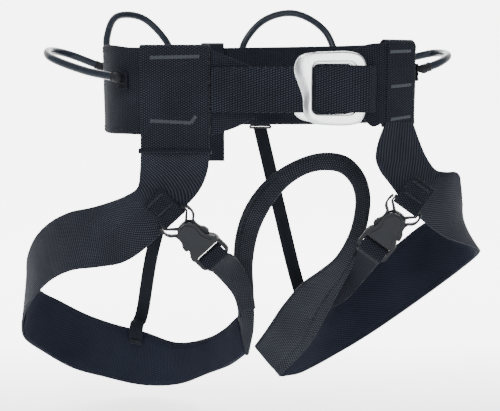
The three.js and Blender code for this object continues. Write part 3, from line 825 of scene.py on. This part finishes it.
TIE_IN = [
    ((-20, 4, -246), (-9, 5, -282)), ((-21, -6, -238), (-4, -8, -256)),
    ((-22, -20, -209), (-4, -24, -212)), ((-25, -32, -176), (-5, -36, -178)),
    ((-22, -44, -142), (0, -46, -146)), ((-12, -54, -113), (10, -56, -120)),
    ((6, -62, -88), (26, -64, -96)), ((31, -68, -69), (45, -71, -81)),
    ((60, -70, -59), (62, -74, -76)), ((86, -70, -62), (79, -74, -78)),
    ((103, -66, -78), (90, -70, -88)), ((111, -60, -99), (96, -64, -103)),
    ((112, -54, -122), (96, -58, -124)), ((108, -46, -146), (90, -51, -148)),
    ((102, -38, -170), (79, -44, -170)), ((94, -29, -192), (63, -35, -186)),
    ((84, -16, -217), (45, -22, -203)), ((73, -2, -245), (27.8, -12, -227.4)),
    ((57, 11, -280), (11.7, -4, -254.4)), ((39.9, 16, -302), (1.8, 2, -271)),
    ((25.6, 20, -318.6), (-3.1, 6, -279.1)),
]
STRAP_LEAD = {"left": 0.28, "right": 0.16}
PAD_START = {"left": 10.1, "right": 9.5}


def pad_profile(share, side):
    """Foam that swells between two sewn edges."""
    edge = min(1.0, (1 - abs(share)) / 0.24)
    swell = 1.1 * math.sqrt(max(edge, 0.0)) - 0.9
    groove = -0.55 * math.exp(-((abs(share) - 0.87) / 0.022) ** 2)
    return swell + groove


def make_leg_loop(side, stations):
    (first, second), (third, fourth) = stations[:2]
    lead = tuple(tuple(a + (a - b) * STRAP_LEAD[side] for a, b in zip(upper, lower))
                 for upper, lower in ((first, third), (second, fourth)))
    strap, _ = make_ribbon(f"{side}_leg_webbing", [lead] + stations, 2.0, MATERIALS["leg"], 2.0, 30,
                           ripple=0.5, seed=7)
    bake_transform(strap)
    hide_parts(f"{side}_leg_strap")
    offset = (STRAP + PAD) / 2 + GAP
    pad_start = PAD_START[side]
    pad_stop = len(stations) - 1

    def pad_taper(t):
        return min(1.0, (t - pad_start) / 1.1, 0.55 + (pad_stop - t) / 1.2)

    pad, ribbon = make_ribbon(f"{side}_pad_foam", stations, 3.6, MATERIALS["pad"], 2.0, 40, start=pad_start,
                              offset=offset, inset=1.2, profile=pad_profile, ripple=0.9, seed=8,
                              taper=pad_taper)
    finish_piece(pad, "legs", "padding", f"{side}_leg_pad")
    for share in (-0.87, 0.87):
        for face in (1, -1):
            row = stitch_row(f"{side}_pad_stitch_{share}_{face}", ribbon, share, offset + face * 1.55,
                             MATERIALS["dark_thread"], start=pad_start + 1.2, stop=pad_stop - 0.7,
                             length=2.8)
            finish_piece(row, "legs", "padding")


def fold_profile(share, side):
    """Webbing folded in half lengthwise: full on the fold's side, pressed flat at the sewn edges."""
    groove = -0.75 * math.exp(-((share + 0.5) / 0.09) ** 2)
    return -0.5 + 0.5 * math.cos((share - 0.25) * math.pi / 2) + groove - 0.5 * max(0.0, -share - 0.4)


def make_tie_in_loop():
    (first, second), (third, fourth) = TIE_IN[:2]
    lead = tuple(tuple(a + (a - b) * 0.35 for a, b in zip(near, far))
                 for near, far in ((first, third), (second, fourth)))
    loop, ribbon = make_ribbon("tie_in_webbing", [lead] + TIE_IN, 5.4, MATERIALS["tie"], 1.8, 36,
                               profile=fold_profile, ripple=0.7, seed=9)
    finish_piece(loop, "legs", "webbing", "tie_in_loop")
    for lift in (1.75, -1.75):
        row = stitch_row(f"tie_in_stitch_{lift}", ribbon, -0.5, lift, MATERIALS["dark_thread"],
                         start=2.0, stop=ribbon.last - 2.0, length=2.6, width=0.9, height=0.5)
        finish_piece(row, "legs", "webbing")


# ---------------------------------------------------------------- risers, haul loop
RISERS = {
    "left": [((-86, 105.4, -48), (-70, 105.4, -48)), ((-132, 108.6, -192), (-116, 108.6, -192)),
             ((-146, 108.4, -268), (-130, 108.4, -268)), ((-149, 103, -277), (-133, 103, -280)),
             ((-151, 94, -278), (-135, 94, -282)), ((-152, 89.5, -287), (-136, 89.5, -291)),
             ((-152.5, 88.6, -302), (-136.5, 88.6, -305))],
    "right": [((-4, 105.6, -48), (12, 105.6, -48)), ((18, 102, -140), (34, 102, -140)),
              ((42, 92, -235), (58, 92, -235)), ((62, 82, -290), (78, 82, -290))],
}
RISER_SLIDERS = {"left": (-78, 103.4), "right": (4, 104)}
SLIDER_BAR_RADIUS = 1.3


def make_risers():
    for side, stations in RISERS.items():
        riser, _ = make_ribbon(f"{side}_riser_elastic", stations, 1.6, MATERIALS["elastic"], 2.0, 12,
                               seed=10)
        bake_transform(riser)
        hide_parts(f"{side}_riser")
        x, y = RISER_SLIDERS[side]
        parts = []
        for z in (-47.0, -44.2):
            path = [(x - 12 + 24 * i / 8, y + 1.5, z + 0.2) for i in range(9)]
            parts.append(make_tube(f"{side}_slider_bar", path, SLIDER_BAR_RADIUS, MATERIALS["slider"]))
        for sign in (-1, 1):
            path = [(x + sign * 11.7, y + 1.5, -47.0), (x + sign * 11.9, y + 1.5, -45.6),
                    (x + sign * 11.7, y + 1.5, -44.0)]
            parts.append(make_tube(f"{side}_slider_side", path, SLIDER_BAR_RADIUS, MATERIALS["slider"]))
        slider = join_pieces(f"{side}_riser_ladder", parts)
        finish_piece(slider, "waist", "slider_plastic", f"{side}_riser_slider")
    tack = bar_tack((-150.4, 87.2, -297.5), (-138.4, 87.2, -300.0), (0, -1, 0), 3.0)
    piece = merge_meshes("riser_end_tack", tack, MATERIALS["dark_thread"])
    finish_piece(piece, "legs", "elastic")


def make_haul_loop():
    rows = [(107.6, -86), (107.6, -30), (107.6, 38), (107.6, 45), (105.6, 48), (100.8, 49.5), (96, 48),
            (94, 45), (94, -20), (94, -84)]
    stations = [((-64, y, z), (-38, y, z)) for y, z in rows]
    loop, _ = make_ribbon("haul_loop_webbing", stations, 2.1, MATERIALS["tab"], 1.8, 16, seed=11)
    finish_piece(loop, "waist", "webbing", "haul_loop")


# ---------------------------------------------------------------- gear loops
GEAR_LOOPS = {
    "front_left": [(-127, -79, 14), (-166, -68, 20), (-206, -38, 33), (-214, -6, 40), (-200, 18, 37),
                   (-166, 22, 24)],
    "rear_left": [(-160, 44, 24), (-166, 66, 56), (-158, 94, 80), (-132, 112, 79), (-106, 114, 54),
                  (-92, 102, 24)],
    "rear_right": [(-22, 112, 24), (-14, 118, 52), (10, 126, 78), (44, 128, 85), (78, 122, 66),
                   (98, 104, 24)],
    "front_right": [(160, -46, 22), (178, -40, 27), (191, -22, 33), (195, 2, 37), (186, 24, 38),
                    (160, 26, 32)],
}


SHEATH_RADIUS = 3.95
LOOP_STAND_OFF = 9.8


def belt_face(x, y):
    """The nearest place on the belt's plan curve, the way along it and the way out of it."""
    points = [Vector((row[0], row[1], 0)) for row in BELT_ROWS]
    last = len(points) - 1
    target = Vector((x, y, 0))
    best = min(range(401), key=lambda i: (spline(points, last * i / 400) - target).length)
    t = last * best / 400
    place = spline(points, t)
    tangent = (spline(points, min(t + 0.01, last)) - spline(points, max(t - 0.01, 0))).normalized()
    return place, tangent, Vector((-tangent.y, tangent.x, 0))


def gear_profile(share):
    """An even tube with rounded-off ends."""
    from_end = min(share, 1 - share)
    return SHEATH_RADIUS * (0.55 + 0.45 * min(from_end / 0.012, 1.0))


def knot_profile(share):
    """A sewn neck that swells into a ball round the loop's end."""
    if share < 0.9:
        return 3.0 + 1.7 * math.sin(math.pi * share ** 1.5)
    return 4.0 * (1.15 - share) / 0.25


def make_gear_tab(name, x, y, z):
    """A flat sewn foot on the belt, and a dark knot that grips the loop's end."""
    place, tangent, outward = belt_face(x, y)
    base = place + outward * 2.2
    up = Vector((0, 0, 1))
    rows = []
    for i in range(9):
        height = -12 + 17 * i / 8
        rows.append((base - tangent * 6 + up * (z + height), base + tangent * 6 + up * (z + height)))
    stations = [(a + outward * 1.1, b + outward * 1.1) for a, b in rows]
    tab, _ = make_ribbon(f"{name}_webbing", stations, 2.2, MATERIALS["narrow"], 1.2, 8)
    finish_piece(tab, "waist", "narrow_webbing", name)
    parts = []
    for height in (-10, -5):
        centre = base + outward * 2.35 + up * (z + height)
        parts += bar_tack(centre - tangent * 4.5, centre + tangent * 4.5, outward, 2.0)
    tacks = merge_meshes(f"{name}_tacks", parts, MATERIALS["dark_thread"])
    finish_piece(tacks, "waist", "narrow_webbing")
    root = place + up * z
    path = [root + outward * (3.2 + 11.4 * i / 20) for i in range(21)]
    knot = make_tube(f"{name}_knot", path, knot_profile, MATERIALS["boot"], 16)
    finish_piece(knot, "waist", "narrow_webbing")


def sleeve_profile(share):
    """A pinched mouth, a full boot and a rolled rim."""
    if share < 0.12:
        return 2.6 + 1.8 * math.sin(share / 0.12 * math.pi / 2)
    if share > 0.82:
        return 4.35 + 0.55 * math.sin((share - 0.82) / 0.18 * math.pi)
    return 4.4


def make_end_sleeve(name, path, body):
    """The dark boot that grips each end of a gear loop."""
    inward = (path[1] - path[0]).normalized()
    points = [path[0] - inward * 1.6]
    reach = 0.0
    for first, second in zip(path, path[1:]):
        points.append(first)
        reach += (second - first).length
        if reach > 8.0:
            break
    fine = [spline(points, (len(points) - 1) * i / 24) for i in range(25)]
    sleeve = make_tube(name, fine, sleeve_profile, MATERIALS["boot"], 20)
    finish_piece(sleeve, body, "gear_loop_sheath")


def make_gear_loops():
    for name, rows in GEAR_LOOPS.items():
        points = [Vector(row) for row in rows]
        for index, end in ((0, "front"), (len(points) - 1, "back")):
            place, _, outward = belt_face(points[index].x, points[index].y)
            make_gear_tab(f"{name}_gear_tab_{end}", points[index].x, points[index].y, points[index].z)
            points[index] = place + outward * LOOP_STAND_OFF + Vector((0, 0, points[index].z))
        path = [spline(points, (len(points) - 1) * i / 90) for i in range(91)]
        tube = make_tube(f"{name}_sheath", path, gear_profile, MATERIALS["sheath"], 20)
        finish_piece(tube, f"{name}_gear_loop", "gear_loop_sheath", f"{name}_gear_loop")
        for end, way in (("front", path), ("back", path[::-1])):
            make_end_sleeve(f"{name}_sleeve_{end}", way, f"{name}_gear_loop")


# ---------------------------------------------------------------- leg buckles
BUCKLES = {
    "left": ((-81, -109.5, -115), (41, 9, -43), (0, -1, -0.1)),
    "right": ((140, -108, -104), (-29.5, 16, -46.5), (-0.2, -1, 0)),
}
PRONG = [
    (0.5, 15.2), (0.5, 17.2), (9, 18), (13.6, 16), (16.6, 12.5), (24.4, 12.3), (29, 15),
    (34, 15.2), (35.2, 12), (35, 9.6), (24, 9.8), (16.2, 9.8), (12.2, 14), (8.4, 16.2), (4, 15.9),
]
HOUSING = [
    (12, 1), (12.3, 4), (13.3, 6.6), (15, 8.6), (17.4, 9.9), (20.4, 10.6), (24, 10.9), (28, 11),
    (32, 11.2), (35, 12), (37.6, 13.6), (40, 15.3), (42.8, 16.4), (46, 16.6), (46, 0),
]
LADDER_FRAME = [(40, 14), (41, 16.6), (57, 16.6), (60, 15.8), (61.6, 13.8), (62, 11)]
PANEL = [(14.2, 3), (17.5, 6.2), (23, 8.2), (30, 7.2), (38, 9.6), (42.2, 11.6), (43.4, 8)]
LADDER_PATH = [(49.3, -2.6), (49.1, 0), (49.6, 3.0), (51.6, 4.3), (55.5, 4.5), (59.5, 4.3), (62.6, 3.2),
               (64.6, 0.4), (67, -2.4)]
CROTCH_ENDS = {
    "left": [((-37, -72, -186), (-18, -72, -167)), ((-25, -43, -210), (-6, -46, -200)),
             ((-20, -27, -232), (-2, -30, -226))],
    "right": [((100.5, -64, -154), (121.5, -68, -168)), ((96, -28, -181), (111, -34, -195)),
              ((80, -14, -206), (92, -12, -224)), ((62, -13, -213), (66, -1, -240))],
}


def mirrored(half):
    return half + [(x, -y) for x, y in reversed(half)]


def plate(name, outline, low, high, material):
    """An extruded plate in the buckle's own frame, in millimetres."""
    count = len(outline)
    vertices = [(x, y, z) for z in (low, high) for x, y in outline]
    faces = [tuple(range(count - 1, -1, -1)), tuple(range(count, 2 * count))]
    for k in range(count):
        nxt = (k + 1) % count
        faces.append((k, nxt, count + nxt, count + k))
    piece = new_object(name, vertices, faces, material, smooth=False)
    fix_normals(piece)
    return piece


def block(name, low, high, material):
    outline = [(low[0], low[1]), (high[0], low[1]), (high[0], high[1]), (low[0], high[1])]
    return plate(name, outline, low[2], high[2], material)


def apply_boolean(piece, other, operation):
    modifier = piece.modifiers.new(operation, "BOOLEAN")
    modifier.operation = operation
    modifier.object = other
    modifier.solver = "EXACT"
    apply_modifiers(piece)
    bpy.data.objects.remove(other)


def apply_modifiers(piece):
    bpy.context.view_layer.update()
    evaluated = piece.evaluated_get(bpy.context.evaluated_depsgraph_get())
    mesh = bpy.data.meshes.new_from_object(evaluated)
    piece.modifiers.clear()
    piece.data = mesh


def round_edges(piece, width, segments=3, angle=30.0):
    """Moulded edges: bevelled and shaded smooth."""
    modifier = piece.modifiers.new("rounding", "BEVEL")
    modifier.width = width * MM
    modifier.segments = segments
    modifier.limit_method = "ANGLE"
    modifier.angle_limit = math.radians(angle)
    modifier.use_clamp_overlap = True
    apply_modifiers(piece)
    for polygon in piece.data.polygons:
        polygon.use_smooth = True
    normals = piece.modifiers.new("weighted", "WEIGHTED_NORMAL")
    normals.keep_sharp = True
    apply_modifiers(piece)


def buckle_matrix(side):
    origin, axis, outward = BUCKLES[side]
    along = Vector(axis).normalized()
    across = Vector(outward).cross(along).normalized()
    face = along.cross(across)
    matrix = Matrix((along, across, face)).transposed().to_4x4()
    matrix.translation = Vector(origin) * MM
    return matrix


def place_piece(piece, matrix, body, slot, *nodes):
    piece.data.transform(matrix)
    finish_piece(piece, body, slot, *nodes)


def make_sewn_tab(side, matrix):
    """The webbing roll that carries the buckle's bar. Its flat tail stops short of the leg loop."""
    rows = [(-27, -1.0), (-20, -1.0), (-12, -0.9), (-7.5, -1.1), (-4.4, -2.9)]
    path = rows + [(4.3 * math.cos(a), 4.3 * math.sin(a))
                   for a in (math.radians(-120 + 240 * i / 12) for i in range(13))]
    path += [(-4.4, 2.9), (-7.5, 1.1), (-12, 0.9), (-20, 1.0), (-27, 1.0)]
    stations = [(matrix @ Vector((x * MM, -12.5 * MM, z * MM)) / MM,
                 matrix @ Vector((x * MM, 12.5 * MM, z * MM)) / MM) for x, z in path]
    tab, _ = make_ribbon(f"{side}_tab_roll", stations, 1.6, MATERIALS["narrow"], 1.2, 16)
    finish_piece(tab, "legs", "narrow_webbing", f"{side}_buckle_tab")
    parts = []
    normal = (matrix.to_3x3() @ Vector((0, 0, 1))).normalized()
    for x in (-9.5, -23):
        first = matrix @ Vector((x * MM, -9.5 * MM, 2.1 * MM)) / MM
        second = matrix @ Vector((x * MM, 9.5 * MM, 2.1 * MM)) / MM
        parts += bar_tack(first, second, normal, 2.4)
    tacks = merge_meshes(f"{side}_tab_roll_tacks", parts, MATERIALS["edge_thread"])
    finish_piece(tacks, "legs", "narrow_webbing")


def make_male(side, matrix):
    material = MATERIALS["buckle"]
    male = plate(f"{side}_male_guide", mirrored([(-2, 14.6), (5.6, 14.6), (9, 11), (14, 6.2)]), -1.5, 1.5,
                 material)
    gap = plate("gap", mirrored([(-3, 12.9), (4.9, 12.9), (7.4, 9.4), (11.6, 4.6)]), -2, 2, material)
    apply_boolean(male, gap, "DIFFERENCE")
    bar = make_tube("bar", [(0, -14.4 + 28.8 * i / 12, 0) for i in range(13)], 2.1, material, 20)
    male = join_pieces(f"{side}_male_guide", [male, bar])
    round_edges(male, 0.45, 2)
    place_piece(male, matrix, "legs", "buckle_plastic", f"{side}_buckle_male")


def make_prongs(side, matrix):
    for way, sign in (("right", 1), ("left", -1)):
        outline = [(p.x, sign * p.y) for p in closed_curve(PRONG, 60)]
        prong = plate(f"{side}_prong_arm_{way}", outline, -2.4, 2.4, MATERIALS["buckle"])
        round_edges(prong, 0.6, 3)
        place_piece(prong, matrix, f"{side}_prong_{way}", "buckle_plastic", f"{side}_buckle_prong_{way}")


def make_housing(side, matrix):
    material = MATERIALS["buckle"]
    shell = plate(f"{side}_housing_shell", mirrored(HOUSING), -5.5, 5.5, material)
    apply_boolean(shell, block("cavity", (8, -12.9, -3.2), (41, 12.9, 3.2), material), "DIFFERENCE")
    ladder = plate("ladder", mirrored(LADDER_FRAME), -2.6, 2.6, material)
    apply_boolean(ladder, block("slot", (46, -13.3, -4), (59, 13.3, 4), material), "DIFFERENCE")
    apply_boolean(shell, ladder, "UNION")
    apply_boolean(shell, block("crossbar", (50, -15, -1.6), (53, 15, 1.6), material), "UNION")
    round_edges(shell, 1.1, 4)
    panels = []
    for way in (1, -1):
        low, high = sorted((way * 4.6, way * 6.3))
        panel = plate(f"{side}_panel", [(p.x, p.y) for p in closed_curve(mirrored(PANEL), 72)], low, high,
                      material)
        round_edges(panel, 0.6, 3)
        panels.append(panel)
    shell = join_pieces(f"{side}_housing_shell", [shell] + panels)
    place_piece(shell, matrix, f"{side}_housing", "buckle_plastic", f"{side}_buckle_housing")


def make_buckle_webbing(side, matrix):
    ladder = [tuple(matrix @ Vector((x * MM, y * MM, z * MM)) / MM for y in (-13.1, 13.1))
              for x, z in LADDER_PATH]
    stations = ladder + CROTCH_ENDS[side]
    strap, _ = make_ribbon(f"{side}_crotch_webbing", stations, 1.6, MATERIALS["narrow"], 1.5, 14)
    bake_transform(strap)
    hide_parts(f"{side}_buckle_webbing")


def make_leg_buckle(side):
    matrix = buckle_matrix(side)
    make_sewn_tab(side, matrix)
    make_male(side, matrix)
    make_prongs(side, matrix)
    make_housing(side, matrix)
    make_buckle_webbing(side, matrix)


# ---------------------------------------------------------------- build
add_camera()
add_world()
add_backdrop()
add_area_light("key", (-0.6, -0.9, 1.3), (0, 0, -0.1), (0.6, 0.6), 17)
add_area_light("front", (0.2, -1.7, 0.1), (0, 0, -0.05), (1.0, 0.9), 10)

make_waist_belt()
make_tabs()
make_left_hem()
make_tab_tacks()
make_waist_webbing()
make_waist_buckle()
make_leg_loop("left", LEFT_LEG)
make_leg_loop("right", RIGHT_LEG)
make_tie_in_loop()
make_risers()
make_haul_loop()
make_gear_loops()
make_leg_buckle("left")
make_leg_buckle("right")
